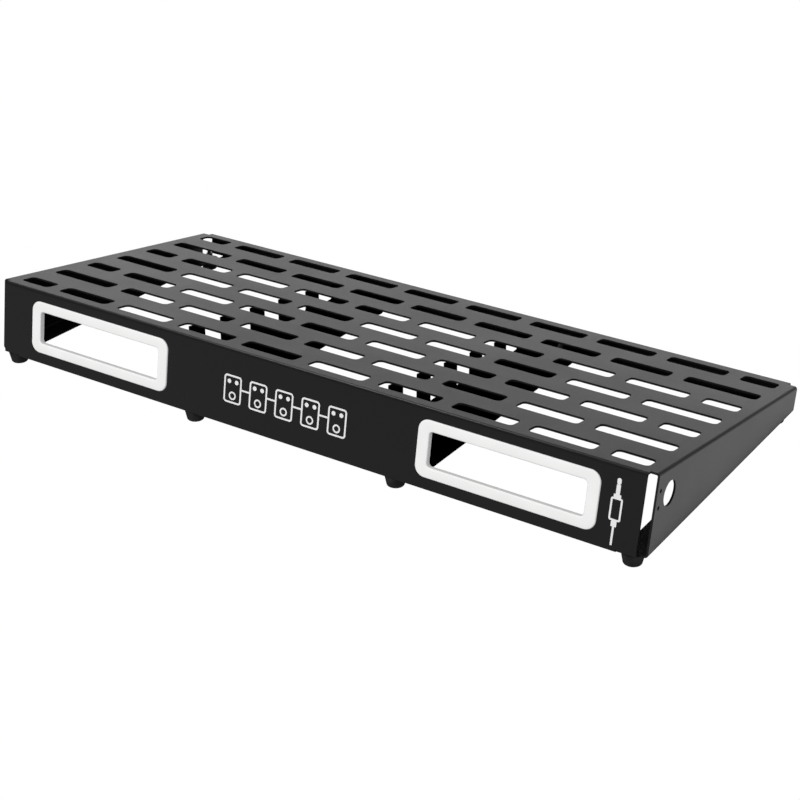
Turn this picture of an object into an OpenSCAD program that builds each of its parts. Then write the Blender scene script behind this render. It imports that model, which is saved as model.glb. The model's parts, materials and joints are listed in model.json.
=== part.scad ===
// Wedge-shaped pedalboard folded from sheet aluminium, on two cross supports and eight rubber feet.
// The tall cable side faces -Y, the low player's side faces +Y, and the floor is z = 0.
// "Deck frame" below means: y runs down the deck from its tall edge, z = 0 is the deck's top face.

/* [Board] */
// Overall length, left to right
board_w = 713; // [700:1:730]
// Deck depth, measured down the slope
board_d = 320.5; // [316:0.5:326]
// Height of the sheet at the tall side, square to the deck
rear_h = 74.4; // [70:0.2:80]
// Height of the sheet at the low side, square to the deck
front_h = 24.4; // [22:0.2:28]
// Sheet thickness
sheet_t = 2; // [1.8:0.1:2.2]
// Outer radius of the bends along the deck's edges
bend_r = 3; // [3:0.5:6]

/* [Deck slots] */
// Slot length
slot_l = 60; // [56:1:62]
// Slot width
slot_w = 18; // [14:1:20]
// Slot corner radius
slot_r = 4.5; // [2:0.5:6]
// Distance between slot centres along a row
slot_pitch = 75; // [74:0.5:76]
// Distance between rows
row_pitch = 45.6; // [44:0.1:46]
// Plain metal left between the slots and the sides
slot_margin = 14.4; // [12:0.2:16]

/* [Panels] */
// Distance from each end of the tall and low panels to the outside of the board
panel_inset = 7.9; // [7:0.1:9]
// Distance of the side panels from the tall panel's outer face
side_inset_rear = 6; // [5:0.5:7]
// Distance of the side panels from the low panel's outer face
side_inset_front = 8; // [7:0.5:9]
// Extra distance of each end of the low panel from the outside of the board
front_inset = 1.4; // [0:0.1:2]
// Gap between the corners of the two long panels and the base plane
panel_lift = 1.9; // [1:0.1:3]
// Reach of the lips folded in under the four panels
lip_w = 23.6; // [23:0.1:26]
// Outer radius of the bend of the side lips
lip_r = 3.5; // [3:0.5:5]
// Outer radius of the bend of the lips under the two long panels
long_lip_r = 2.5; // [2.5:0.5:4]
// Gap between a side lip and the end of a long panel's lip
lip_gap = 2.4; // [1:0.2:5]

/* [Side socket hole] */
// Diameter of the large hole in the right side
port_d = 22; // [18:0.5:24]
// Its distance from the tall panel's outer face, down the deck
port_y = 31.8; // [30:0.2:36]
// Its depth below the deck's top face
port_z = 23.7; // [22:0.1:26]
// Diameter of the two small fixing holes beside it
port_screw_d = 3.5; // [3:0.1:4]
// Distance between the small holes
port_screw_gap = 14.8; // [12:0.2:16]
// Distance of the small holes from the tall panel's outer face
port_screw_y = 12.5; // [11:0.1:14]

/* [Cable outlets] */
// Distance of each outlet's centre from the board's centre
outlet_x = 224.6; // [215:0.2:230]
// Depth of the outlet's centre below the deck's top face
outlet_z = 36.2; // [34:0.1:38]
// Clear width inside the trim
outlet_w = 149.6; // [120:0.2:152]
// Clear height inside the trim
outlet_h = 32; // [28:0.2:34]
// Corner radius of the clear opening
outlet_r = 3.6; // [2:0.2:6]
// Width of the trim's face at the left and right
trim_face_w = 11.4; // [8:0.2:12]
// Width of the trim's face at the top and bottom
trim_face_h = 10; // [7:0.2:10]
// How far the trim stands proud of the panel
trim_proud = 1.6; // [1:0.1:2]
// Outer corner radius of the trim's face
trim_r = 10; // [6:0.5:12]
// Wall thickness of the trim's collar
collar_t = 1.8; // [1.4:0.1:2.2]
// How far the collar reaches in behind the panel's inner face
collar_reach = 2; // [1.5:0.1:4]

/* [Cross supports] */
// Thickness of the supports' sheet
support_t = 1.5; // [1.2:0.1:1.8]
// Distance of each support's centre from the board's centre
support_x = 112.6; // [105:0.1:120]
// Width over the two legs
support_w = 52; // [46:0.5:56]
// Outer radius of the support's bends
support_r = 4.5; // [4:0.5:6]
// Length of each cable window along the leg
window_l = 23.5; // [20:1:28]
// Distance between windows
window_pitch = 45.2; // [44:0.1:48]
// Number of windows in each leg
window_count = 6; // [3:1:6]
// Centre of the first window from the tall panel
window_start = 26.6; // [10:0.1:30]
// Share of the leg's height left standing under each window
window_sill = 0.42; // [0.35:0.01:0.6]
// Corner radius at the foot of each window
window_r = 2; // [1:0.5:6]

/* [Feet] */
// Height of a rubber foot
foot_h = 11.4; // [9:0.1:14]
// Radius at the top of a foot
foot_top_r = 10.25; // [9:0.05:11]
// Taper of a foot's side from the vertical, in degrees
foot_taper = 12; // [5:1:15]
// Rounding of a foot's lower edge
foot_round = 2; // [1:0.25:2.5]
// Distance of the corner feet from the board's centre
foot_corner_x = 341.2; // [340:0.1:345]
// Distance of the inner feet from the board's centre
foot_inner_x = 112.6; // [108:0.1:120]
// Distance of the foot centres from the deck's tall and low edges
foot_inset = 12; // [11.5:0.1:16]
// Diameter of the screws that hold the feet
screw_d = 4; // [3:0.5:4]

/* [Hidden] */
$fn = 48;

POWDER = "#2c2d2f";
TRIM_WHITE = "#eef0f0";
RUBBER = "#1a1a1b";
ZINC = "#b9bcc0";

eps = 0.01;
far = 1000;
half_w = board_w / 2;
slope = (rear_h - front_h) / board_d;
tilt = atan(slope);
// The world box runs from the tall panel's bottom edge to the outermost line of the low bend.
y_rear = -(rear_h - panel_lift) * sin(tilt);
y_front = (board_d - bend_r) * cos(tilt) - bend_r * sin(tilt) + bend_r;
y_shift = -(y_rear + y_front) / 2;
lift = foot_h + rear_h * cos(tilt);

rows = 7;
row_first = (board_d - (rows - 1) * row_pitch) / 2;
slots_full = 8;
slot_end_x = half_w - slot_margin;
row_half = (slots_full * slot_pitch - (slot_pitch - slot_l)) / 2;
short_slot_x = row_half + slot_pitch - slot_l;
long_slot_x = short_slot_x - slot_pitch / 2;

panel_half = half_w - panel_inset;
rear_panel_h = rear_h - panel_lift;
front_panel_h = front_h - panel_lift;
// The supports rest on the lips of the two long panels, which end clear of the side lips.
lip_play = 0.05;
long_lip_z = foot_h + long_lip_r;
support_z = foot_h + sheet_t + lip_play;
support_stack = sheet_t + lip_play + support_t;
long_lip_half = half_w - lip_w - lip_gap;
lip_slit = 1;
support_gap_rear = 0.6;
support_gap_front = 1.2;
support_rear_y = sheet_t + support_gap_rear;
support_front_y = board_d - sheet_t - support_gap_front;

trim_play = 0.2;
cutout_w = outlet_w + 2 * (collar_t + trim_play);
cutout_h = outlet_h + 2 * (collar_t + trim_play);
cutout_r = outlet_r + collar_t + trim_play;
rib_w = 12;
rib_t = 0.9;

foot_recess_d = 9.6;
foot_recess_h = 5;
foot_hole_d = screw_d + 0.4;
sheet_hole_d = screw_d + 0.6;
nut_hole_d = screw_d + 0.1;
washer_d = 9;
washer_t = 0.8;
head_d = 7.6;
head_h = 2.6;
crown_d = 5.6;
crown_h = 1;
cross_w = 0.9;
cross_l = 4;
cross_h = 1.6;
screw_l = 18;
nut_across = 7;
nut_hex_h = 3.6;
nut_h = 5;
nut_collar_d = 6.4;
foot_positions = [-foot_corner_x, -foot_inner_x, foot_inner_x, foot_corner_x];

// Places of the base plane under a deck-frame y, as world y
function base_y(y) = y * cos(tilt) - (rear_h - slope * y) * sin(tilt) + y_shift;
rear_foot_y = base_y(foot_inset);
front_foot_y = base_y(board_d - foot_inset);

// World y of a long lip's bend centre, from its deck-frame y, and its deck-frame z
function lip_bend_y(y) = y_shift + (y + (long_lip_z - lift) * sin(tilt)) / cos(tilt);
function lip_bend_z(y) = micron((lip_bend_y(y) - y_shift) * sin(tilt) + (long_lip_z - lift) * cos(tilt));
function micron(v) = round(v * 1000) / 1000;

// Moves deck-frame geometry into the world frame
module on_deck() {
    translate([0, y_shift, lift]) rotate([-tilt, 0, 0]) children();
}

// Extrudes a 2D profile drawn in (y, z) along x, between two x values
module along_x(x0, x1) {
    translate([x0, 0, 0]) rotate([90, 0, 90]) linear_extrude(x1 - x0) children();
}

// Extrudes a 2D profile drawn in (x, z) along y, between two y values
module along_y(y0, y1) {
    translate([0, y1, 0]) rotate([90, 0, 0]) linear_extrude(y1 - y0) children();
}

// Rectangle with true round corners, centred
module round_rect(w, h, r) {
    square([w - 2 * r, h], center = true);
    square([w, h - 2 * r], center = true);
    for (x = [-1, 1], y = [-1, 1]) translate([x * (w / 2 - r), y * (h / 2 - r)]) circle(r);
}

// Quarter ring of a sheet bend with its centre at the origin, filling the +x +y quadrant
module quarter_bend(outer_r, thick = sheet_t) {
    intersection() {
        difference() {
            circle(outer_r);
            circle(outer_r - thick);
        }
        square(outer_r);
    }
}

// Bend and lip under a long panel that leans by lean degrees, around the bend's centre
module long_lip_section(lean) {
    intersection() {
        difference() {
            circle(long_lip_r);
            circle(long_lip_r - sheet_t);
        }
        polygon([[0, 0], [-far * cos(lean), far * sin(lean)], [-far, -far], [0, -far]]);
    }
    translate([0, -long_lip_r]) square([lip_w - long_lip_r, sheet_t]);
}

// ---- Deck sheet -------------------------------------------------------------------------

// Deck, tall panel and low panel as one folded strip with its two lips, in the deck frame
module long_fold() {
    rear_z = lip_bend_z(long_lip_r);
    front_z = lip_bend_z(board_d - long_lip_r);
    difference() {
        along_x(-panel_half, panel_half) {
            translate([0, -rear_panel_h]) square([sheet_t, rear_panel_h - bend_r]);
            translate([bend_r, -bend_r]) mirror([1, 0]) quarter_bend(bend_r);
            translate([bend_r, -sheet_t]) square([board_d - 2 * bend_r, sheet_t]);
            translate([board_d - bend_r, -bend_r]) quarter_bend(bend_r);
            translate([board_d - sheet_t, -front_panel_h]) square([sheet_t, front_panel_h - bend_r]);
        }
        for (s = [0, 1]) mirror([s, 0, 0])
            translate([panel_half - front_inset, board_d - side_inset_front, -far / 2]) cube(far);
        along_x(-long_lip_half - lip_slit, long_lip_half + lip_slit) {
            translate([-sheet_t, rear_z - front_h]) square([3 * sheet_t, front_h]);
            translate([board_d - 2 * sheet_t, front_z - front_h]) square([3 * sheet_t, front_h]);
        }
    }
    along_x(-long_lip_half, long_lip_half) {
        translate([long_lip_r, rear_z]) rotate(tilt) long_lip_section(tilt);
        translate([board_d - long_lip_r, front_z]) rotate(tilt) mirror([1, 0]) long_lip_section(-tilt);
    }
}

// Right side panel with its top bend and its folded-in lip
module side_fold() {
    intersection() {
        union() {
            on_deck() {
                translate([panel_half - eps, bend_r, -sheet_t])
                    cube([half_w - bend_r - panel_half + eps, board_d - 2 * bend_r, sheet_t]);
                along_y(0, board_d) translate([half_w - bend_r, -bend_r]) quarter_bend(bend_r);
                along_x(half_w - sheet_t, half_w) polygon([
                    [0, -bend_r],
                    [board_d, -bend_r],
                    [board_d, -front_h + lip_r / cos(tilt)],
                    [0, -rear_h + lip_r / cos(tilt)],
                ]);
            }
            along_y(-board_d, board_d) translate([half_w - lip_r, foot_h + lip_r])
                mirror([0, 1]) quarter_bend(lip_r);
            translate([half_w - lip_w, -board_d, foot_h])
                cube([lip_w - lip_r, 2 * board_d, sheet_t]);
        }
        on_deck() translate([0, side_inset_rear, -far / 2])
            cube([far, board_d - side_inset_rear - side_inset_front, far]);
    }
}

// One deck slot through the sheet, between two x values
module slot_cut(x0, x1, y) {
    translate([(x0 + x1) / 2, y, -2 * sheet_t])
        linear_extrude(3 * sheet_t) round_rect(x1 - x0, slot_w, slot_r);
}

// Brick pattern: odd rows have full slots with short ends, even rows have long end slots
module deck_slots() {
    for (row = [0 : rows - 1]) {
        y = row_first + row * row_pitch;
        odd = row % 2 == 0;
        full = odd ? slots_full : slots_full - 1;
        end_x = odd ? short_slot_x : long_slot_x;
        for (i = [0 : full - 1]) {
            x = (i - (full - 1) / 2) * slot_pitch;
            slot_cut(x - slot_l / 2, x + slot_l / 2, y);
        }
        slot_cut(end_x, slot_end_x, y);
        slot_cut(-slot_end_x, -end_x, y);
    }
}

// Openings for the two outlet trims in the tall panel
module outlet_cuts() {
    for (s = [-1, 1]) translate([s * outlet_x, 2 * sheet_t, -outlet_z])
        rotate([90, 0, 0]) linear_extrude(4 * sheet_t) round_rect(cutout_w, cutout_h, cutout_r);
}

// Socket hole and its two fixing holes in the right side
module port_cuts() {
    translate([half_w - 2 * sheet_t, 0, 0]) {
        translate([0, port_y, -port_z]) rotate([0, 90, 0]) cylinder(d = port_d, h = 4 * sheet_t);
        for (s = [-1, 1]) translate([0, port_screw_y, -port_z + s * port_screw_gap / 2])
            rotate([0, 90, 0]) cylinder(d = port_screw_d, h = 4 * sheet_t);
    }
}

// Clearance holes for the foot screws
module foot_screw_holes() {
    for (x = foot_positions, y = [rear_foot_y, front_foot_y])
        translate([x, y, foot_h - sheet_t]) cylinder(d = sheet_hole_d, h = 3 * sheet_t);
}

module deck_shell() {
    color(POWDER) difference() {
        union() {
            on_deck() long_fold();
            side_fold();
            mirror([1, 0, 0]) side_fold();
        }
        on_deck() {
            deck_slots();
            outlet_cuts();
            port_cuts();
        }
        foot_screw_holes();
    }
}

// ---- Cross supports ---------------------------------------------------------------------

// Channel section, open at the top
module channel_profile() {
    half = support_w / 2;
    translate([-half + support_r, 0]) square([support_w - 2 * support_r, support_t]);
    for (s = [0, 1]) mirror([s, 0]) {
        translate([half - support_r, support_r]) mirror([0, 1]) quarter_bend(support_r, support_t);
        translate([half - support_t, support_r]) square([support_t, rear_h]);
    }
}

// One cable window, cut across both legs and open towards the deck; the first also runs out at the end
module window_cut(y_deck, first) {
    sill = foot_h + (rear_h - slope * y_deck) * window_sill;
    l = first ? 2 * window_l : window_l;
    along_x(-support_w, support_w)
        translate([base_y(y_deck) - (l - window_l) / 2, sill + rear_h / 2]) round_rect(l, rear_h, window_r);
}

// Support channel, cut to the wedge between the base plane and the deck
module support(x) {
    color(POWDER) difference() {
        translate([x, 0, 0]) difference() {
            intersection() {
                translate([0, 0, support_z]) along_y(-board_d, board_d) channel_profile();
                on_deck() translate([-far / 2, support_rear_y, -far - sheet_t])
                    cube([far, support_front_y - support_rear_y, far]);
            }
            for (i = [0 : window_count - 1]) window_cut(window_start + i * window_pitch, i == 0);
        }
        foot_screw_holes();
    }
}

// ---- Outlet trims -----------------------------------------------------------------------

// Moulded bezel: rounded face in front of the panel, collar through it, snap ribs behind it
module outlet_trim(x) {
    face_w = outlet_w + 2 * trim_face_w;
    face_h = outlet_h + 2 * trim_face_h;
    collar_l = trim_proud + sheet_t + collar_reach;
    color(TRIM_WHITE) on_deck() translate([x, 0, -outlet_z]) rotate([90, 0, 0]) difference() {
        union() {
            linear_extrude(trim_proud) round_rect(face_w, face_h, trim_r);
            translate([0, 0, -sheet_t - collar_reach]) linear_extrude(collar_l)
                round_rect(outlet_w + 2 * collar_t, outlet_h + 2 * collar_t, outlet_r + collar_t);
            for (s = [-1, 1], i = [-1, 0, 1])
                translate([i * outlet_w / 3, s * (outlet_h / 2 + collar_t), -sheet_t - collar_reach])
                    linear_extrude(collar_reach) square([rib_w, 2 * rib_t], center = true);
        }
        translate([0, 0, -far / 2]) linear_extrude(far) round_rect(outlet_w, outlet_h, outlet_r);
    }
}

// ---- Feet and their fasteners -----------------------------------------------------------

module at_foot(i, y) {
    translate([foot_positions[i], y, 0]) children();
}

// Half section of a foot: tapered side that meets the floor in a true round
module foot_section() {
    side_y = foot_round * (1 - sin(foot_taper));
    side_x = foot_top_r - (foot_h - side_y) * tan(foot_taper);
    round_x = side_x - foot_round * cos(foot_taper);
    polygon([[0, 0], [round_x, 0], [side_x, side_y], [foot_top_r, foot_h], [0, foot_h]]);
    translate([round_x, foot_round]) circle(foot_round);
}

module foot() {
    color(RUBBER) difference() {
        rotate_extrude() intersection() {
            foot_section();
            square([foot_top_r, foot_h]);
        }
        translate([0, 0, -eps]) cylinder(d = foot_recess_d, h = foot_recess_h + eps);
        cylinder(d = foot_hole_d, h = 2 * foot_h);
    }
}

module foot_washer() {
    color(ZINC) translate([0, 0, foot_recess_h - washer_t]) difference() {
        cylinder(d = washer_d, h = washer_t);
        translate([0, 0, -eps]) cylinder(d = foot_hole_d, h = washer_t + 2 * eps);
    }
}

// Pan-head screw with a cross recess, pointing up through the washer, foot and sheet
module foot_screw() {
    seat = foot_recess_h - washer_t;
    color(ZINC) difference() {
        union() {
            translate([0, 0, seat - head_h]) cylinder(d1 = crown_d, d2 = head_d, h = crown_h);
            translate([0, 0, seat - head_h + crown_h]) cylinder(d = head_d, h = head_h - crown_h);
            translate([0, 0, seat]) cylinder(d = screw_d, h = screw_l);
        }
        for (a = [0, 90]) rotate(a) translate([-cross_l / 2, -cross_w / 2, seat - head_h - eps])
            cube([cross_l, cross_w, cross_h + eps]);
    }
}

// Hexagonal locking nut with a round collar, on top of sheet of the given thickness
module lock_nut(stack) {
    color(ZINC) translate([0, 0, foot_h + stack]) difference() {
        union() {
            cylinder(d = nut_across / cos(30), h = nut_hex_h, $fn = 6);
            cylinder(d = nut_collar_d, h = nut_h);
        }
        translate([0, 0, -eps]) cylinder(d = nut_hole_d, h = nut_h + 2 * eps);
    }
}

deck_shell();
support(-support_x);  // support_left
support(support_x);  // support_right
outlet_trim(-outlet_x);  // outlet_trim_left
outlet_trim(outlet_x);  // outlet_trim_right
at_foot(0, rear_foot_y) foot();  // foot_rear_1
at_foot(1, rear_foot_y) foot();  // foot_rear_2
at_foot(2, rear_foot_y) foot();  // foot_rear_3
at_foot(3, rear_foot_y) foot();  // foot_rear_4
at_foot(0, front_foot_y) foot();  // foot_front_1
at_foot(1, front_foot_y) foot();  // foot_front_2
at_foot(2, front_foot_y) foot();  // foot_front_3
at_foot(3, front_foot_y) foot();  // foot_front_4
at_foot(0, rear_foot_y) foot_screw();  // foot_screw_rear_1
at_foot(1, rear_foot_y) foot_screw();  // foot_screw_rear_2
at_foot(2, rear_foot_y) foot_screw();  // foot_screw_rear_3
at_foot(3, rear_foot_y) foot_screw();  // foot_screw_rear_4
at_foot(0, front_foot_y) foot_screw();  // foot_screw_front_1
at_foot(1, front_foot_y) foot_screw();  // foot_screw_front_2
at_foot(2, front_foot_y) foot_screw();  // foot_screw_front_3
at_foot(3, front_foot_y) foot_screw();  // foot_screw_front_4
at_foot(0, rear_foot_y) foot_washer();  // foot_washer_rear_1
at_foot(1, rear_foot_y) foot_washer();  // foot_washer_rear_2
at_foot(2, rear_foot_y) foot_washer();  // foot_washer_rear_3
at_foot(3, rear_foot_y) foot_washer();  // foot_washer_rear_4
at_foot(0, front_foot_y) foot_washer();  // foot_washer_front_1
at_foot(1, front_foot_y) foot_washer();  // foot_washer_front_2
at_foot(2, front_foot_y) foot_washer();  // foot_washer_front_3
at_foot(3, front_foot_y) foot_washer();  // foot_washer_front_4
at_foot(0, rear_foot_y) lock_nut(sheet_t);  // lock_nut_rear_1
at_foot(1, rear_foot_y) lock_nut(support_stack);  // lock_nut_rear_2
at_foot(2, rear_foot_y) lock_nut(support_stack);  // lock_nut_rear_3
at_foot(3, rear_foot_y) lock_nut(sheet_t);  // lock_nut_rear_4
at_foot(0, front_foot_y) lock_nut(sheet_t);  // lock_nut_front_1
at_foot(1, front_foot_y) lock_nut(support_stack);  // lock_nut_front_2
at_foot(2, front_foot_y) lock_nut(support_stack);  // lock_nut_front_3
at_foot(3, front_foot_y) lock_nut(sheet_t);  // lock_nut_front_4
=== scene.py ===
import json
import math

import bmesh
import bpy
from mathutils import Matrix, Vector
from mathutils.geometry import delaunay_2d_cdt


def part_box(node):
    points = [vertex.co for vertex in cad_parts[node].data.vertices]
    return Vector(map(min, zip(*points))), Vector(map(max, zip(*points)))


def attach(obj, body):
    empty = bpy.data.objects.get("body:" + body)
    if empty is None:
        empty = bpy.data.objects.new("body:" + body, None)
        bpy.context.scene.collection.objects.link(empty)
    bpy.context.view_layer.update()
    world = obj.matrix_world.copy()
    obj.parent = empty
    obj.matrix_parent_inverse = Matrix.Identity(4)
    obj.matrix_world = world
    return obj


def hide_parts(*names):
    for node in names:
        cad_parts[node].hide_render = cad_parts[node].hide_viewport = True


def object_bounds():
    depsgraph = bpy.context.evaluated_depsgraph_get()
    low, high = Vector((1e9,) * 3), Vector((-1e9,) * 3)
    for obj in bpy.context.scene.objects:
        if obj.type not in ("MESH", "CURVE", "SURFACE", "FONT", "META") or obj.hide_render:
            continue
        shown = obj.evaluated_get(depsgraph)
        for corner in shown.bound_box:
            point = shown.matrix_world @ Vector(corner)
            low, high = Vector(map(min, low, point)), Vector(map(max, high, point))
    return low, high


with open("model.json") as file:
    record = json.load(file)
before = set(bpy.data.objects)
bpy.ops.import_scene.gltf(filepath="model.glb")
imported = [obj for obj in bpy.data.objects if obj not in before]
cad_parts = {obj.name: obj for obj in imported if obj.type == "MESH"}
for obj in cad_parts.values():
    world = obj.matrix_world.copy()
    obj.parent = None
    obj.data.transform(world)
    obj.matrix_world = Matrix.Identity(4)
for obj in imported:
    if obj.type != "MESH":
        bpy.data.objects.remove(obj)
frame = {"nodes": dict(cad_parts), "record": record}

cad_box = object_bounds()
nodes = frame["nodes"]
record = frame["record"]
mounts = {m["name"]: m for m in record["mounts"]}
scene = bpy.context.scene

MM = 0.001

# ---- Sizes that repeat the CAD part's, in millimetres ------------------------------------

SHEET_T = 2.0
BEND_R = 3.0
REAR_H, FRONT_H = 74.4, 24.4
PANEL_LIFT = 1.9
PANEL_INSET, FRONT_INSET = 7.9, 1.4
SIDE_INSET_REAR, SIDE_INSET_FRONT = 6.0, 8.0
LIP_W, LIP_R = 23.6, 3.5
LONG_LIP_R, LIP_GAP, LIP_PLAY, LIP_SLIT = 2.5, 2.4, 0.05, 1.0
SLOT_L, SLOT_W, SLOT_R = 60.0, 18.0, 4.5
SLOT_PITCH, ROW_PITCH, ROWS, ROW_SLOTS = 75.0, 45.6, 7, 8
SLOT_MARGIN = 14.4
PORT_D, PORT_Y, PORT_Z = 22.0, 31.8, 23.7
PORT_SCREW_D, PORT_SCREW_GAP, PORT_SCREW_Y = 3.5, 14.8, 12.5
OUTLET_X, OUTLET_Z = 224.6, 36.2
OUTLET_W, OUTLET_H, OUTLET_R = 149.6, 32.0, 3.6
TRIM_FACE_W, TRIM_FACE_H, TRIM_PROUD, TRIM_R = 11.4, 10.0, 1.6, 10.0
COLLAR_T, COLLAR_REACH, TRIM_PLAY = 1.8, 2.0, 0.2
RIB_W, RIB_T = 12.0, 0.9
SUPPORT_X, SUPPORT_W, SUPPORT_R, SUPPORT_T = 112.6, 52.0, 4.5, 1.5
SUPPORT_GAP_REAR, SUPPORT_GAP_FRONT = 0.6, 1.2
WINDOW_L, WINDOW_PITCH, WINDOWS, WINDOW_R = 23.5, 45.2, 6, 2.0
WINDOW_START, WINDOW_SILL = 26.6, 0.42
SCREW_HOLE_D = 4.6

# ---- Sizes of the looks only, in millimetres ----------------------------------------------

EDGE = 0.35          # rounding of the sheets' rims
SLIVER = 1e-4        # triangles of a flat pattern lower than this are dropped
MITRE = 0.35         # least cosine for an offset corner, so that sharp ones don't shoot out
LIP_CORNER = 3.0     # cut corners of the lips
COLLAR_CHAMFER = 0.3
INK_T = 0.06

# ---- The deck frame: x along the board, y down the deck, z = 0 on its top face ------------

deck_normal = Vector(mounts["deck_face"]["axis"])
COS, SIN = deck_normal.z, deck_normal.y
deck_at = Vector(mounts["deck_face"]["pos_m"])
panel_at = Vector(mounts["cable_outlet_left"]["pos_m"])
down_deck = Vector((0, COS, -SIN))
origin = deck_at - down_deck * (deck_at - panel_at).dot(down_deck)
origin.x = 0
DECK = Matrix.Translation(origin) @ Matrix((
    (1, 0, 0, 0),
    (0, COS, SIN, 0),
    (0, -SIN, COS, 0),
    (0, 0, 0, 1),
))
SHIFT, LIFT = origin.y / MM, origin.z / MM
FOOT_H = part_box("foot_rear_1")[1].z / MM
WEB_Z = FOOT_H + SHEET_T + LIP_PLAY
HALF_W = cad_box[1].x / MM
SLOPE = SIN / COS
BOARD_D = (REAR_H - FRONT_H) / SLOPE
PANEL_HALF = HALF_W - PANEL_INSET


def deck_to_row(y, z):
    """(y, z) of the row frame for a point of the deck frame, in millimetres."""
    return y * COS + z * SIN + SHIFT, -y * SIN + z * COS + LIFT


def row_to_deck(y, z):
    """The inverse of deck_to_row."""
    return (y - SHIFT) * COS - (z - LIFT) * SIN, (y - SHIFT) * SIN + (z - LIFT) * COS


# ---- Sheet metal: a flat pattern, given thickness and soft edges, then folded -------------

def arc(cx, cy, r, a0, a1, n):
    """n + 1 points on an arc, angles in degrees."""
    return [
        (cx + r * math.cos(math.radians(a0 + (a1 - a0) * i / n)),
         cy + r * math.sin(math.radians(a0 + (a1 - a0) * i / n)))
        for i in range(n + 1)
    ]


def circle(cx, cy, r, n):
    return arc(cx, cy, r, 0, 360, n)[:-1]


def round_rect(cx, cy, w, h, r, n=7):
    """Counter-clockwise rectangle with round corners."""
    out = []
    for sx, sy, a in ((1, 1, 0), (-1, 1, 90), (-1, -1, 180), (1, -1, 270)):
        out += arc(cx + sx * (w / 2 - r), cy + sy * (h / 2 - r), r, a, a + 90, n)
    return out


def area(loop):
    return sum(a[0] * b[1] - b[0] * a[1] for a, b in zip(loop, loop[1:] + loop[:1])) / 2


def offset(loop, d):
    """Moves each point d to the left of its loop's direction."""
    out = []
    count = len(loop)
    for i in range(count):
        p, q, r = (Vector(loop[(i + k) % count]) for k in (-1, 0, 1))
        e0, e1 = (q - p).normalized(), (r - q).normalized()
        n0, n1 = Vector((-e0.y, e0.x)), Vector((-e1.y, e1.x))
        m = (n0 + n1).normalized()
        out.append(tuple(q + m * (d / max(m.dot(n0), MITRE))))
    return out


def inside(p, loop):
    hit = False
    for a, b in zip(loop, loop[1:] + loop[:1]):
        if (a[1] > p[1]) != (b[1] > p[1]):
            if p[0] < a[0] + (p[1] - a[1]) * (b[0] - a[0]) / (b[1] - a[1]):
                hit = not hit
    return hit


def flat_region(outline, holes, breaks):
    """Points and triangles of a flat region with holes, cut along the break lines."""
    points, edges = [], []
    for loop in [outline, *holes]:
        start = len(points)
        points += loop
        edges += [(start + i, start + (i + 1) % len(loop)) for i in range(len(loop))]
    for a, b in breaks:
        edges.append((len(points), len(points) + 1))
        points += [a, b]
    got, _, faces, *_ = delaunay_2d_cdt([Vector(p) for p in points], edges, [], 0, 1e-5)
    boxes = [
        (min(x for x, _ in h), max(x for x, _ in h), min(y for _, y in h), max(y for _, y in h), h)
        for h in holes
    ]
    kept = []
    for f in faces:
        c = (got[f[0]] + got[f[1]] + got[f[2]]) / 3
        if not inside(c, outline):
            continue
        if any(x0 < c.x < x1 and y0 < c.y < y1 and inside(c, h) for x0, x1, y0, y1, h in boxes):
            continue
        a, b, d = (got[i] for i in f)
        turn = (b - a).cross(d - a)
        if abs(turn) < SLIVER * max((b - a).length, (d - b).length, (a - d).length):
            continue
        kept.append(tuple(f) if turn > 0 else (f[0], f[2], f[1]))
    return got, kept


def rim_loops(triangles):
    """The boundary of the kept triangles, as chains with the material on the left."""
    sides = {(t[i], t[(i + 1) % 3]) for t in triangles for i in range(3)}
    after = {a: b for a, b in sides if (b, a) not in sides}
    loops = []
    while after:
        first = next(iter(after))
        loop, at = [], first
        while at in after:
            loop.append(at)
            at = after.pop(at)
        loops.append(loop)
    return loops


def fold_normal(fold, x, y, dx, dy, up, depth):
    """Direction of a small step in the flat pattern, after folding."""
    step = 1e-3
    a = Vector(fold(x, y, depth))
    return (Vector(fold(x + dx * step, y + dy * step, depth - up * step)) - a).normalized()


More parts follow.
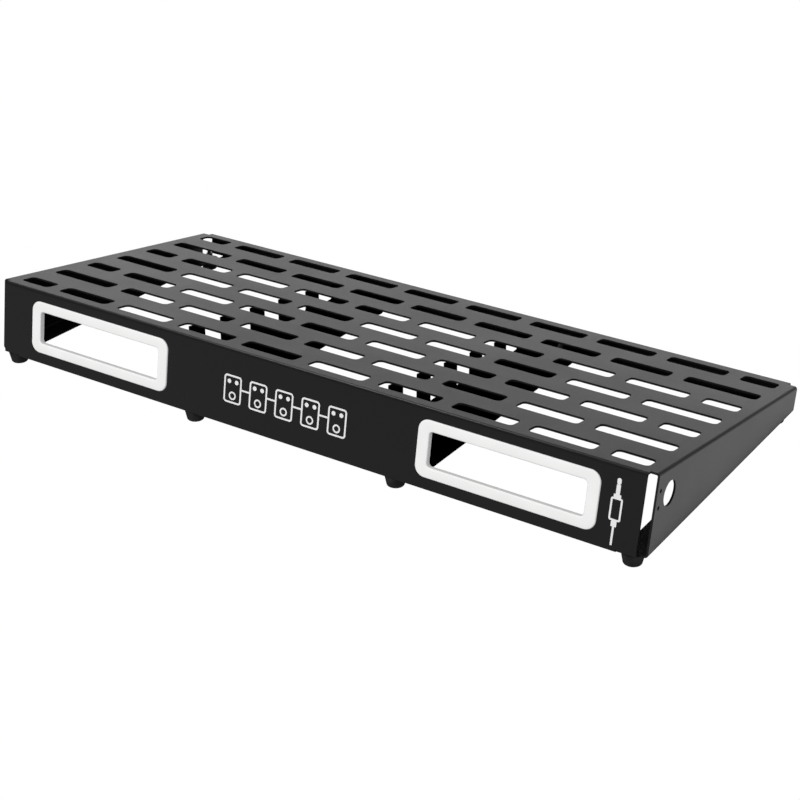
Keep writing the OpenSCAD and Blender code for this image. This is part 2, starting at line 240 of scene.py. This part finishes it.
def sheet(name, outline, holes, breaks, fold, thick=SHEET_T, edge=EDGE, rounds=3):
    """A folded sheet with rounded rims. fold takes flat x, y and the depth behind the outer face.

    A fold that mirrors the flat pattern, as the supports' does, leaves the faces pointing inwards.
    """
    if area(outline) < 0:
        outline = outline[::-1]
    holes = [h if area(h) < 0 else h[::-1] for h in holes]
    inner = offset(outline, edge)
    inner_holes = [offset(h, edge) for h in holes]
    flat, triangles = flat_region(inner, inner_holes, breaks)
    used = sorted({i for t in triangles for i in t})
    verts, normals, faces = [], [], []
    top, bottom = {}, {}
    for side, table, depth in ((1, top, 0.0), (-1, bottom, thick)):
        for i in used:
            p = flat[i]
            table[i] = len(verts)
            verts.append(fold(p.x, p.y, depth))
            normals.append(fold_normal(fold, p.x, p.y, 0, 0, side, depth))
    faces += [tuple(top[i] for i in t) for t in triangles]
    faces += [tuple(bottom[i] for i in reversed(t)) for t in triangles]
    for loop in rim_loops(triangles):
        count = len(loop)
        rings = [[top[i] for i in loop]]
        pts = [flat[i] for i in loop]
        outs = []
        for k in range(count):
            e0 = (pts[k] - pts[k - 1]).normalized()
            e1 = (pts[(k + 1) % count] - pts[k]).normalized()
            n0, n1 = Vector((e0.y, -e0.x)), Vector((e1.y, -e1.x))
            m = (n0 + n1).normalized()
            outs.append((m, 1 / max(m.dot(n0), MITRE)))
        steps = [(s, 1) for s in range(1, rounds + 1)] + [(s, -1) for s in range(rounds, 0, -1)]
        for s, side in steps:
            a = math.pi / 2 * s / rounds
            ring = []
            for p, (m, k) in zip(pts, outs):
                q = p + m * (edge * math.sin(a) * k)
                depth = edge * (1 - math.cos(a)) if side > 0 else thick - edge * (1 - math.cos(a))
                ring.append(len(verts))
                verts.append(fold(q.x, q.y, depth))
                normals.append(fold_normal(
                    fold, q.x, q.y, m.x * math.sin(a), m.y * math.sin(a), side * math.cos(a), depth))
            rings.append(ring)
        rings.append([bottom[i] for i in loop])
        for r0, r1 in zip(rings, rings[1:]):
            for k in range(count):
                j = (k + 1) % count
                faces.append((r0[k], r1[k], r1[j], r0[j]))
    mesh = bpy.data.meshes.new(name)
    mesh.from_pydata([Vector(v) * MM for v in verts], [], faces)
    mesh.validate()
    mesh.polygons.foreach_set("use_smooth", [True] * len(mesh.polygons))
    mesh.normals_split_custom_set_from_vertices(normals)
    mesh.update()
    return mesh


def add(name, mesh, slot, material, *stands_for):
    """A finished piece that rides on the board."""
    piece = bpy.data.objects.new(name, mesh)
    scene.collection.objects.link(piece)
    if not mesh.materials:
        mesh.materials.append(material)
    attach(piece, "root")
    if stands_for:
        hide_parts(*stands_for)
    return piece


def bend(s, depth, r):
    """(advance, drop) of a point s beyond the start of a 90 degree bend, depth below the outer face."""
    if s <= 0:
        return s, depth
    if s < r * math.pi / 2:
        a = s / r
        return (r - depth) * math.sin(a), r - (r - depth) * math.cos(a)
    return r - depth, r + s - r * math.pi / 2


def bend_lines(r, n):
    return [r * math.pi / 2 * i / n for i in range(n + 1)]


# ---- Materials ---------------------------------------------------------------------------

def node_material(name):
    m = bpy.data.materials.new(name)
    m.use_nodes = True
    tree = m.node_tree
    return m, tree, tree.nodes["Principled BSDF"]


def link(tree, a, out, b, into):
    tree.links.new(a.outputs[out], b.inputs[into])


def noise(tree, scale, detail=2.0, rough=0.5, kind="ShaderNodeTexNoise"):
    coord = tree.nodes.get("Texture Coordinate") or tree.nodes.new("ShaderNodeTexCoord")
    n = tree.nodes.new(kind)
    n.inputs["Scale"].default_value = scale
    if kind == "ShaderNodeTexNoise":
        n.inputs["Detail"].default_value = detail
        n.inputs["Roughness"].default_value = rough
    link(tree, coord, "Object", n, "Vector")
    return n


def ramp(tree, source, out, stops):
    r = tree.nodes.new("ShaderNodeValToRGB")
    link(tree, source, out, r, "Fac")
    r.color_ramp.elements[0].position, r.color_ramp.elements[0].color = stops[0][0], (*stops[0][1], 1)
    r.color_ramp.elements[1].position, r.color_ramp.elements[1].color = stops[-1][0], (*stops[-1][1], 1)
    for at, colour in stops[1:-1]:
        r.color_ramp.elements.new(at).color = (*colour, 1)
    return r


def value_range(tree, source, out, low, high):
    r = tree.nodes.new("ShaderNodeMapRange")
    link(tree, source, out, r, "Value")
    r.inputs["To Min"].default_value, r.inputs["To Max"].default_value = low, high
    return r


def bump(tree, source, out, strength, distance, under=None):
    b = tree.nodes.new("ShaderNodeBump")
    b.inputs["Strength"].default_value = strength
    b.inputs["Distance"].default_value = distance
    link(tree, source, out, b, "Height")
    if under:
        link(tree, under, "Normal", b, "Normal")
    return b


def powder_coat():
    m, tree, bsdf = node_material("powder_coat_black")
    cells = noise(tree, 1500, 3.0, 0.6)
    peel = noise(tree, 420, 2.0, 0.5)
    cloud = noise(tree, 14, 3.0, 0.55)
    tint = ramp(tree, cells, "Fac", [(0.3, (0.0035, 0.0035, 0.0036)), (0.7, (0.006, 0.006, 0.0062))])
    link(tree, tint, "Color", bsdf, "Base Color")
    rough = value_range(tree, cloud, "Fac", 0.30, 0.38)
    link(tree, rough, "Result", bsdf, "Roughness")
    bsdf.inputs["IOR"].default_value = 1.5
    fine = bump(tree, cells, "Fac", 0.35, 0.00012)
    both = bump(tree, peel, "Fac", 0.22, 0.0002, fine)
    link(tree, both, "Normal", bsdf, "Normal")
    return m


def white_plastic():
    m, tree, bsdf = node_material("plastic_white")
    grain = noise(tree, 2600, 2.0, 0.5)
    cloud = noise(tree, 30, 2.0, 0.5)
    tint = ramp(tree, cloud, "Fac", [(0.3, (0.80, 0.80, 0.795)), (0.7, (0.84, 0.84, 0.835))])
    link(tree, tint, "Color", bsdf, "Base Color")
    rough = value_range(tree, grain, "Fac", 0.38, 0.52)
    link(tree, rough, "Result", bsdf, "Roughness")
    link(tree, bump(tree, grain, "Fac", 0.15, 0.00005), "Normal", bsdf, "Normal")
    return m


def rubber():
    m, tree, bsdf = node_material("rubber_black")
    grain = noise(tree, 1800, 3.0, 0.6)
    dust = noise(tree, 120, 4.0, 0.6)
    tint = ramp(tree, dust, "Fac", [(0.35, (0.012, 0.012, 0.012)), (0.7, (0.024, 0.024, 0.0235))])
    link(tree, tint, "Color", bsdf, "Base Color")
    rough = value_range(tree, grain, "Fac", 0.62, 0.8)
    link(tree, rough, "Result", bsdf, "Roughness")
    bsdf.inputs["Specular IOR Level"].default_value = 0.4
    link(tree, bump(tree, grain, "Fac", 0.4, 0.0001), "Normal", bsdf, "Normal")
    return m


def zinc():
    m, tree, bsdf = node_material("steel_zinc_plated")
    bsdf.inputs["Metallic"].default_value = 1.0
    cloud = noise(tree, 500, 3.0, 0.6)
    tint = ramp(tree, cloud, "Fac", [(0.3, (0.50, 0.51, 0.53)), (0.7, (0.66, 0.67, 0.68))])
    link(tree, tint, "Color", bsdf, "Base Color")
    rough = value_range(tree, cloud, "Fac", 0.26, 0.42)
    link(tree, rough, "Result", bsdf, "Roughness")
    link(tree, bump(tree, cloud, "Fac", 0.1, 0.00005), "Normal", bsdf, "Normal")
    return m


def print_ink():
    m, tree, bsdf = node_material("ink_white")
    grain = noise(tree, 1400, 3.0, 0.6)
    tint = ramp(tree, grain, "Fac", [(0.3, (0.70, 0.70, 0.70)), (0.7, (0.82, 0.82, 0.82))])
    link(tree, tint, "Color", bsdf, "Base Color")
    rough = value_range(tree, grain, "Fac", 0.45, 0.6)
    link(tree, rough, "Result", bsdf, "Roughness")
    link(tree, bump(tree, grain, "Fac", 0.2, 0.00006), "Normal", bsdf, "Normal")
    return m


POWDER, PLASTIC, RUBBER, ZINC, INK = powder_coat(), white_plastic(), rubber(), zinc(), print_ink()
finishes = {"powder_coat": POWDER, "white_plastic": PLASTIC, "rubber": RUBBER, "zinc_steel": ZINC}
for part in record["subparts"]:
    skins = nodes[part["node"]].data.materials
    for i in range(len(skins)):
        skins[i] = finishes[part["material_slot"]]

# ---- Deck sheet --------------------------------------------------------------------------

BEND_N, LIP_N, LONG_LIP_N = 9, 6, 7
Q = BEND_R * math.pi / 2
SIDE_LINE = HALF_W - BEND_R
LONG_LIP_HALF = HALF_W - LIP_W - LIP_GAP
SIDE_ENDS = (SIDE_INSET_REAR, BOARD_D - SIDE_INSET_FRONT)


def long_lip(low):
    """A long lip's bend: deck-frame centre y and z, angle, and 1 at the tall side or -1 at the low one."""
    z = FOOT_H + LONG_LIP_R
    y = (BOARD_D - LONG_LIP_R if low else LONG_LIP_R) + (z - LIFT) * SIN
    y, z = row_to_deck(SHIFT + y / COS, z)
    lean = math.asin(SIN)
    return y, z, math.pi / 2 - lean if low else math.pi / 2 + lean, -1 if low else 1


lips = [long_lip(False), long_lip(True)]


def fold_lip(lip, past, depth):
    """Row-frame (y, z) of a point past the start of a long lip's bend."""
    y, z, whole, side = lip
    a = min(past / LONG_LIP_R, whole)
    y -= side * (LONG_LIP_R - depth) * math.cos(a)
    z -= (LONG_LIP_R - depth) * math.sin(a)
    y, z = deck_to_row(y, z)
    return y + side * max(past - LONG_LIP_R * whole, 0), z


def fold_deck(x, y, depth):
    """Flat pattern of the board to the row frame: deck, four flaps and the two lips."""
    side = 1 if x > 0 else -1
    beyond = abs(x) - SIDE_LINE
    if beyond > 0:
        out, drop = bend(beyond, depth, BEND_R)
        ry, rz = deck_to_row(y, -drop)
        past = FOOT_H + LIP_R - rz
        if past > 0 and beyond > Q:
            quarter = LIP_R * math.pi / 2
            if past < quarter:
                a = past / LIP_R
                px = HALF_W - LIP_R + (LIP_R - depth) * math.cos(a)
                return side * px, ry, FOOT_H + LIP_R - (LIP_R - depth) * math.sin(a)
            return side * (HALF_W - LIP_R - (past - quarter)), ry, FOOT_H + depth
        return side * (SIDE_LINE + out), ry, rz
    low = y > BOARD_D / 2
    beyond = y - BOARD_D + BEND_R if low else BEND_R - y
    out, drop = bend(beyond, depth, BEND_R)
    lip = lips[low]
    past = BEND_R + beyond - Q + lip[1]
    if past > 0 and abs(x) < LONG_LIP_HALF + LIP_SLIT / 2:
        return (x, *fold_lip(lip, past, depth))
    return (x, *deck_to_row(BOARD_D - BEND_R + out if low else BEND_R - out, -drop))


def panel_y(z):
    """Flat y of a point on the tall panel, z in the deck frame."""
    return BEND_R - (Q - z - BEND_R)


def side_flat(y, z):
    """Flat (x, y) of a point on the right side panel, given in the deck frame."""
    return SIDE_LINE + Q - z - BEND_R, y


def lip_flat(row_y, q):
    """Flat (x, y) of a point on the right lip: row-frame y, and q beyond the start of its bend."""
    return side_flat(*row_to_deck(row_y, FOOT_H + LIP_R - q))


def lip_start(y):
    """Where the end of the right side panel at deck-frame y meets its lip: flat point and row-frame y."""
    z = -REAR_H + SLOPE * y + LIP_R / COS
    return side_flat(y, z), deck_to_row(y, z)[0]


def side_outline():
    """Outline of the right flap, from the tall end to the low end."""
    q_end = LIP_R * math.pi / 2 + LIP_W - LIP_R
    (p0, r0), (p1, r1) = (lip_start(y) for y in SIDE_ENDS)
    cut = [
        lip_flat(r0, q_end - LIP_CORNER), lip_flat(r0 + LIP_CORNER, q_end),
        lip_flat(r1 - LIP_CORNER, q_end), lip_flat(r1, q_end - LIP_CORNER),
    ]
    return [(PANEL_HALF, SIDE_ENDS[0]), p0, *cut, p1, (PANEL_HALF, SIDE_ENDS[1])]


def long_outline(half, height, lip):
    """Right half of a long flap's edge in the flat pattern: its lip, the relief slit and its corner."""
    bend_y = panel_y(lip[1])
    end_y = bend_y - LONG_LIP_R * lip[2] - LIP_W + LONG_LIP_R
    edge_y = panel_y(PANEL_LIFT - height)
    return [
        (LONG_LIP_HALF - LIP_CORNER, end_y),
        (LONG_LIP_HALF, end_y + LIP_CORNER),
        (LONG_LIP_HALF, bend_y),
        (LONG_LIP_HALF + LIP_SLIT, bend_y),
        (LONG_LIP_HALF + LIP_SLIT, edge_y),
        (half, edge_y),
    ]


def deck_outline():
    """Edge of the whole flat pattern: the right half, then its mirror image."""
    right = side_outline()
    front_half = PANEL_HALF - FRONT_INSET
    rear = long_outline(PANEL_HALF, REAR_H, lips[0])
    front = [(front_half, right[-1][1]), *[
        (x, BOARD_D - y) for x, y in reversed(long_outline(front_half, FRONT_H, lips[1]))]]
    half = [*rear, *right, *front]
    return [*half, *[(-x, y) for x, y in reversed(half)]]


def deck_slots():
    """Rows of slots, each with a shorter or longer slot at both ends."""
    holes = []
    row_first = (BOARD_D - (ROWS - 1) * ROW_PITCH) / 2
    row_half = (ROW_SLOTS * SLOT_PITCH - (SLOT_PITCH - SLOT_L)) / 2
    end = HALF_W - SLOT_MARGIN
    for row in range(ROWS):
        y = row_first + row * ROW_PITCH
        count = ROW_SLOTS - row % 2
        for i in range(count):
            x = (i - (count - 1) / 2) * SLOT_PITCH
            holes.append(round_rect(x, y, SLOT_L, SLOT_W, SLOT_R))
        start = row_half + SLOT_PITCH - SLOT_L - (SLOT_PITCH / 2 if row % 2 else 0)
        for s in (-1, 1):
            holes.append(round_rect(s * (start + end) / 2, y, end - start, SLOT_W, SLOT_R))
    return holes


def panel_holes():
    """Openings for the outlet trims, and the side port with its two screw holes."""
    holes = []
    grow = COLLAR_T + TRIM_PLAY
    for s in (-1, 1):
        holes.append(round_rect(
            s * OUTLET_X, panel_y(-OUTLET_Z), OUTLET_W + 2 * grow, OUTLET_H + 2 * grow, OUTLET_R + grow))
    x, y = side_flat(PORT_Y, -PORT_Z)
    holes.append(circle(x, y, PORT_D / 2, 48))
    for s in (-1, 1):
        x, y = side_flat(PORT_SCREW_Y, -PORT_Z + s * PORT_SCREW_GAP / 2)
        holes.append(circle(x, y, PORT_SCREW_D / 2, 20))
    return holes


def foot_centre(name):
    """Centre of a foot's box, in millimetres."""
    low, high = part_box(name)
    return (low + high) / 2 / MM


def lip_holes():
    """Holes for the foot screws: the outer feet's in the side lips, the inner feet's in the long lips."""
    holes = []
    for foot in ("foot_rear_4", "foot_front_4"):
        centre = foot_centre(foot)
        x, y = lip_flat(centre.y, LIP_R * math.pi / 2 + HALF_W - LIP_R - centre.x)
        for s in (-1, 1):
            holes.append(circle(s * x, y, SCREW_HOLE_D / 2, 20))
    for foot, lip in (("foot_rear_3", lips[0]), ("foot_front_3", lips[1])):
        centre = foot_centre(foot)
        past = lip[3] * (centre.y - deck_to_row(lip[0], lip[1])[0]) + LONG_LIP_R * lip[2]
        y = panel_y(lip[1]) - past
        for s in (-1, 1):
            holes.append(circle(s * centre.x, y if lip[3] > 0 else BOARD_D - y, SCREW_HOLE_D / 2, 20))
    return holes


def deck_breaks():
    """Lines across the flat pattern that the bends need, a little longer than the metal."""
    breaks = []
    for s in bend_lines(BEND_R, BEND_N):
        for y in (BEND_R - s, BOARD_D - BEND_R + s):
            breaks.append(((-PANEL_HALF - 2, y), (PANEL_HALF + 2, y)))
        for side in (-1, 1):
            x = side * (SIDE_LINE + s)
            breaks.append(((x, SIDE_ENDS[0] - 0.5), (x, SIDE_ENDS[1] + 0.5)))
    for i in range(LONG_LIP_N + 1):
        for lip in lips:
            y = panel_y(lip[1]) - LONG_LIP_R * lip[2] * i / LONG_LIP_N
            y = y if lip[3] > 0 else BOARD_D - y
            breaks.append(((-LONG_LIP_HALF - 0.1, y), (LONG_LIP_HALF + 0.1, y)))
    first, last = (lip_start(y)[1] for y in SIDE_ENDS)
    for s in bend_lines(LIP_R, LIP_N):
        a, b = lip_flat(first - 1, s), lip_flat(last + 1, s)
        breaks += [(a, b), ((-a[0], a[1]), (-b[0], b[1]))]
    return breaks


deck_holes = [*deck_slots(), *panel_holes(), *lip_holes()]
add("deck_sheet", sheet("deck_sheet", deck_outline(), deck_holes, deck_breaks(), fold_deck),
    "powder_coat", POWDER, "deck_shell")

# ---- Cross supports ----------------------------------------------------------------------

def support_mesh(name, centre_x):
    """Channel whose legs follow the deck's underside. Its first window runs out at the tall end."""
    line = SUPPORT_W / 2 - SUPPORT_R
    quarter = SUPPORT_R * math.pi / 2

    def fold(x, y, depth):
        side = 1 if x > 0 else -1
        out, rise = bend(abs(x) - line, depth, SUPPORT_R)
        if abs(x) <= line:
            return centre_x + x, y, WEB_Z + depth
        return centre_x + side * (line + out), y, WEB_Z + rise

    def flat_x(height):
        """Flat x of a point on the right leg, at a height above the web's underside."""
        return line + quarter + height - SUPPORT_R

    def end_y(deck_y, row_z):
        """Row-frame y where the plane at deck_y meets the height row_z."""
        return (deck_y + (row_z - LIFT) * SIN) / COS + SHIFT

    def under_deck(row_y):
        """Row-frame height of the deck's underside."""
        return LIFT - (row_y - SHIFT) * SLOPE - SHEET_T / COS

    ends = (SHEET_T + SUPPORT_GAP_REAR, BOARD_D - SHEET_T - SUPPORT_GAP_FRONT)
    y0, y1 = (end_y(d, WEB_Z) for d in ends)

    def leg_end(deck_y):
        """Flat point where the leg's end meets the deck's underside."""
        y = end_y(deck_y, LIFT - deck_y * SIN - SHEET_T)
        for _ in range(4):
            y = end_y(deck_y, under_deck(y))
        return flat_x(under_deck(y) - WEB_Z), y

    leg = [(line, y0), (flat_x(SUPPORT_R), end_y(ends[0], WEB_Z + SUPPORT_R))]
    windows = []
    for i in range(WINDOWS):
        deck_y = WINDOW_START + i * WINDOW_PITCH
        height = REAR_H - SLOPE * deck_y
        y = deck_to_row(deck_y, -height)[0]
        windows.append((y - WINDOW_L / 2, y + WINDOW_L / 2, FOOT_H - WEB_Z + height * WINDOW_SILL))
    for i, (a, b, sill) in enumerate(windows):
        x = flat_x(sill) + WINDOW_R
        if i == 0:
            leg.append((flat_x(sill), end_y(ends[0], WEB_Z + sill)))
        else:
            leg.append((flat_x(under_deck(a) - WEB_Z), a))
            leg += arc(x, a + WINDOW_R, WINDOW_R, 270, 180, 4)
        leg += arc(x, b - WINDOW_R, WINDOW_R, 180, 90, 4)
        leg.append((flat_x(under_deck(b) - WEB_Z), b))
    leg.append(leg_end(ends[1]))
    leg += [(flat_x(SUPPORT_R), end_y(ends[1], WEB_Z + SUPPORT_R)), (line, y1)]
    outline = [*leg, *[(-x, y) for x, y in reversed(leg)]]
    holes = []
    for foot in ("foot_rear_3", "foot_front_3"):
        centre = foot_centre(foot)
        x = math.copysign(centre.x, centre_x) - centre_x
        holes.append(circle(x, centre.y, SCREW_HOLE_D / 2, 20))
    breaks = [((side * (line + s), y0 - 1), (side * (line + s), y1 + 1))
              for s in bend_lines(SUPPORT_R, 7) for side in (-1, 1)]
    return sheet(name + "_channel", outline, holes, breaks, fold, SUPPORT_T)


for name, x in (("support_left", -SUPPORT_X), ("support_right", SUPPORT_X)):
    add(name + "_channel", support_mesh(name, x), "powder_coat", POWDER, name)

# ---- Outlet trims ------------------------------------------------------------------------

def trim_mesh(name, centre_x):
    """Moulded bezel as one closed ring of rounded profile, with snap ribs behind the panel."""
    inner_w, inner_h = OUTLET_W / 2, OUTLET_H / 2
    outer_w, outer_h = inner_w + TRIM_FACE_W, inner_h + TRIM_FACE_H
    back = SHEET_T + COLLAR_REACH
    lead, edge, crown = 1.3, 1.2, 0.12
    profile = []

    def at(w, h, r, y):
        profile.append((w, h, r, y))

    chamfer = COLLAR_CHAMFER
    at(inner_w + chamfer, inner_h + chamfer, OUTLET_R + chamfer, back)
    at(inner_w, inner_h, OUTLET_R, back - chamfer)
    at(inner_w, inner_h, OUTLET_R, -TRIM_PROUD + lead)
    for i in range(1, 7):
        a = math.pi / 2 * i / 6
        g = lead * (1 - math.cos(a))
        at(inner_w + g, inner_h + g, OUTLET_R + g, -TRIM_PROUD + lead - (lead - crown) * math.sin(a))
    for k in (0.25, 0.5, 0.75):
        g = lead + (TRIM_FACE_W - lead - edge) * k
        v = lead + (TRIM_FACE_H - lead - edge) * k
        r = OUTLET_R + lead + (TRIM_R - edge - OUTLET_R - lead) * k
        at(inner_w + g, inner_h + v, r, -TRIM_PROUD + crown * (2 * k - 1) ** 2)
    for i in range(0, 7):
        a = math.pi / 2 * i / 6
        g = edge * (1 - math.sin(a))
        at(outer_w - g, outer_h - g, TRIM_R - g, -TRIM_PROUD + crown + (edge - crown) * (1 - math.cos(a)))
    at(outer_w, outer_h, TRIM_R, -0.05)
    at(outer_w - 0.1, outer_h - 0.1, TRIM_R - 0.1, 0)
    at(inner_w + COLLAR_T, inner_h + COLLAR_T, OUTLET_R + COLLAR_T, 0)
    at(inner_w + COLLAR_T, inner_h + COLLAR_T, OUTLET_R + COLLAR_T, back - chamfer)
    grow = COLLAR_T - chamfer
    at(inner_w + grow, inner_h + grow, OUTLET_R + grow, back)

    bm = bmesh.new()
    rings = []
    for w, h, r, y in profile:
        loop = round_rect(0, 0, 2 * w, 2 * h, r, 10)
        rings.append([
            bm.verts.new(DECK @ (Vector((centre_x + px, y, -OUTLET_Z + pz)) * MM)) for px, pz in loop
        ])
    for r0, r1 in zip(rings, rings[1:] + rings[:1]):
        count = len(r0)
        for k in range(count):
            j = (k + 1) % count
            bm.faces.new((r0[k], r0[j], r1[j], r1[k]))
    for s in (-1, 1):
        for i in (-1, 0, 1):
            rib(bm, centre_x + i * OUTLET_W / 3, -OUTLET_Z + s * (inner_h + COLLAR_T), s)
    bmesh.ops.recalc_face_normals(bm, faces=bm.faces)
    mesh = bpy.data.meshes.new(name)
    bm.to_mesh(mesh)
    bm.free()
    for p in mesh.polygons:
        p.use_smooth = True
    mesh.set_sharp_from_angle(angle=math.radians(40))
    return mesh


def rib(bm, x, z, s):
    """Snap rib: a wedge that slopes up towards the panel."""
    y0, y1 = SHEET_T, SHEET_T + COLLAR_REACH - COLLAR_CHAMFER
    corners = []
    for px in (x - RIB_W / 2, x + RIB_W / 2):
        for py, rise in ((y0, -0.6), (y0, RIB_T), (y0 + 0.5, RIB_T), (y1, 0.15), (y1, -0.6)):
            corners.append(bm.verts.new(DECK @ (Vector((px, py, z + s * rise)) * MM)))
    n = len(corners) // 2
    bm.faces.new(corners[:n])
    bm.faces.new(corners[n:][::-1])
    for k in range(n):
        j = (k + 1) % n
        bm.faces.new((corners[k], corners[j], corners[n + j], corners[n + k]))


for side, x in (("left", -OUTLET_X), ("right", OUTLET_X)):
    add("outlet_bezel_" + side, trim_mesh("outlet_bezel_" + side, x), "white_plastic", PLASTIC,
        "outlet_trim_" + side)

# ---- Printed pictograms, in place of any lettering ----------------------------------------

def print_piece(name, shapes):
    """Flat ink shapes on the tall panel. Each shape is an outline with holes, in panel x and z."""
    def fold(x, z, depth):
        return (x, *deck_to_row(depth - INK_T, z))

    bm = bmesh.new()
    for outline, holes in shapes:
        mesh = sheet("ink", outline, holes, [], fold, INK_T + 0.02, 0.02, 1)
        bm.from_mesh(mesh)
        bpy.data.meshes.remove(mesh)
    mesh = bpy.data.meshes.new(name)
    bm.to_mesh(mesh)
    bm.free()
    return add(name, mesh, "white_plastic", INK)


def ring_shape(x, z, w, h, r, line):
    return round_rect(x, z, w, h, r), [round_rect(x, z, w - 2 * line, h - 2 * line, r - line)]


def bar(x, z, w, h, r=None):
    return round_rect(x, z, w, h, min(w, h) / 2.01 if r is None else r, 4), []


def pedal_row(centre_x, centre_z):
    """Five plain pedals joined by a cable."""
    shapes = []
    pitch, w, h, line = 29.0, 20.0, 27.0, 1.7
    for i in range(5):
        x = centre_x + (i - 2) * pitch
        shapes.append(ring_shape(x, centre_z, w, h, 3.2, line))
        for k in (-1, 1):
            shapes.append((circle(x + k * 4.2, centre_z + 7.2, 2.1, 24), []))
        shapes.append((circle(x, centre_z - 6.2, 4.0, 32), [circle(x, centre_z - 6.2, 2.5, 32)]))
        if i < 4:
            shapes.append(bar(x + pitch / 2, centre_z + 1.5, pitch - w, line, 0.2))
    return shapes


def jack_plug(centre_x, low_z):
    """A plain jack plug standing on its cable."""
    return [
        bar(centre_x, low_z + 8.0, 1.8, 16.0, 0.2),
        bar(centre_x, low_z + 18.5, 5.0, 5.0, 0.8),
        ring_shape(centre_x, low_z + 31.0, 10.5, 20.0, 1.8, 1.6),
        bar(centre_x, low_z + 42.4, 6.5, 2.8, 0.4),
        bar(centre_x, low_z + 48.0, 3.6, 8.4, 0.3),
        bar(centre_x, low_z + 55.0, 3.6, 5.6, 1.7),
    ]


print_piece("print_pedal_row", pedal_row(-3.0, -38.0))
print_piece("print_jack_plug", jack_plug(326.0, -68.5))

# ---- Stage, light and camera -------------------------------------------------------------

def stage_plane(name, x0, x1, y0, y1, z, material):
    mesh = bpy.data.meshes.new(name)
    mesh.from_pydata([(x0, y0, z), (x1, y0, z), (x1, y1, z), (x0, y1, z)], [], [(0, 1, 2, 3)])
    mesh.materials.append(material)
    ob = bpy.data.objects.new(name, mesh)
    scene.collection.objects.link(ob)
    return ob


def glow(name, strength):
    """White light source."""
    m = bpy.data.materials.new(name)
    m.use_nodes = True
    tree = m.node_tree
    tree.nodes.clear()
    out = tree.nodes.new("ShaderNodeOutputMaterial")
    e = tree.nodes.new("ShaderNodeEmission")
    e.inputs["Color"].default_value = (1, 1, 1, 1)
    e.inputs["Strength"].default_value = strength
    link(tree, e, "Emission", out, "Surface")
    return m


def matt(name, grey):
    m, tree, bsdf = node_material(name)
    bsdf.inputs["Base Color"].default_value = (grey, grey, grey, 1)
    bsdf.inputs["Roughness"].default_value = 0.9
    return m


def only_camera(ob):
    """Seen by the camera, but lights nothing and casts no shadow."""
    ob.visible_diffuse = ob.visible_glossy = ob.visible_transmission = False
    ob.visible_volume_scatter = ob.visible_shadow = False


# The camera sees one plain bright floor. What the board reflects is set by strips that it doesn't see,
# which carry painted light and shade: glowing strips stand in for lit floor, grey and near-black strips
# for shade, darkest under the board.
floor = stage_plane("floor", -9, 9, -9, 9, 0, glow("floor_white", 1.0))
only_camera(floor)
END, TALL, LOW = 0.365, -0.175, 0.17
SHADE = -0.12
strips = {
    # Painted shade: a grey matt strip, darker than the white floor.
    "floor_back": (-3, END, 0.8, 3, matt("floor_pale", 0.16)),
    # Painted light: a glowing strip beyond the board's low side, standing in for lit floor.
    "floor_painted_light_behind": (-1.6, END, LOW, 0.8, glow("floor_painted_light_behind", 0.35)),
    # Painted shade: a grey matt strip, darker than the white floor.
    "floor_left": (-3, -END, TALL, LOW, matt("floor_pale_left", 0.3)),
    # Painted shade: a near-black strip under the board, where its shade falls.
    "floor_painted_shade_under": (-END, END, SHADE, LOW, matt("floor_painted_shade_under", 0.03)),
    # Painted light: a glowing strip in front of the board, standing in for lit floor.
    "floor_painted_light_front": (-3, 3, -3, TALL, glow("floor_painted_light_front", 0.32)),
    # Painted shade: a dim glowing strip under the board's tall edge.
    "floor_painted_shade_edge": (-END, END, TALL, SHADE, glow("floor_painted_shade_edge", 0.15)),
    # Painted light: a bright glowing strip right of the board, standing in for lit floor.
    "floor_painted_light_right": (END, 1.6, TALL, 1.6, glow("floor_painted_light_right", 0.72)),
}
for name, (x0, x1, y0, y1, material) in strips.items():
    stage_plane(name, x0, x1, y0, y1, -0.001, material).visible_camera = False

dome_mesh = bpy.data.meshes.new("backdrop")
bm = bmesh.new()
bmesh.ops.create_icosphere(bm, subdivisions=3, radius=8.5)
bm.to_mesh(dome_mesh)
bm.free()
dome_mesh.materials.append(glow("backdrop_white", 1.0))
dome = bpy.data.objects.new("backdrop", dome_mesh)
scene.collection.objects.link(dome)
only_camera(dome)

world = bpy.data.worlds.new("studio")
scene.world = world
world.use_nodes = True
world.node_tree.nodes["Background"].inputs["Color"].default_value = (1, 1, 1, 1)
world.node_tree.nodes["Background"].inputs["Strength"].default_value = 0.18


def softbox(name, at, aim, size_x, size_y, radiance, diffuse=True, glossy=True):
    """Area light whose face shines with the given radiance."""
    light = bpy.data.lights.new(name, "AREA")
    light.shape = "RECTANGLE"
    light.size, light.size_y = size_x, size_y
    light.energy = radiance * size_x * size_y * math.pi
    ob = bpy.data.objects.new(name, light)
    scene.collection.objects.link(ob)
    ob.location = at
    ob.rotation_mode = "QUATERNION"
    ob.rotation_quaternion = (Vector(aim) - Vector(at)).to_track_quat("-Z", "Y")
    ob.visible_camera = False
    ob.visible_diffuse, ob.visible_glossy = diffuse, glossy
    return ob


softbox("light_back", (-1.15, 3.0, 0.35), (0, 0, 0.1), 4.0, 1.0, 0.98)
softbox("light_left", (-3.0, 1.6, 0.5), (0, 0, 0.1), 2.6, 1.1, 0.2)
softbox("light_top", (-1.0, 0.2, 1.9), (0, 0, 0), 0.7, 0.5, 8.0, diffuse=False)
softbox("light_key", (-1.6, -2.2, 1.9), (0, -0.1, 0.05), 1.2, 1.2, 15.8, glossy=False)
softbox("light_fill", (1.9, -2.2, 1.6), (0, -0.1, 0.05), 1.2, 1.2, 11.2, glossy=False)

camera_data = bpy.data.cameras.new("camera")
camera_data.sensor_width = 36
camera_data.lens = 74.4
camera = bpy.data.objects.new("camera", camera_data)
scene.collection.objects.link(camera)
camera.location = (0.8053, -1.20084, 0.7111)
camera.rotation_euler = [math.radians(a) for a in (63.432, -0.297, 33.434)]
scene.camera = camera
scene.view_settings.view_transform = "Standard"
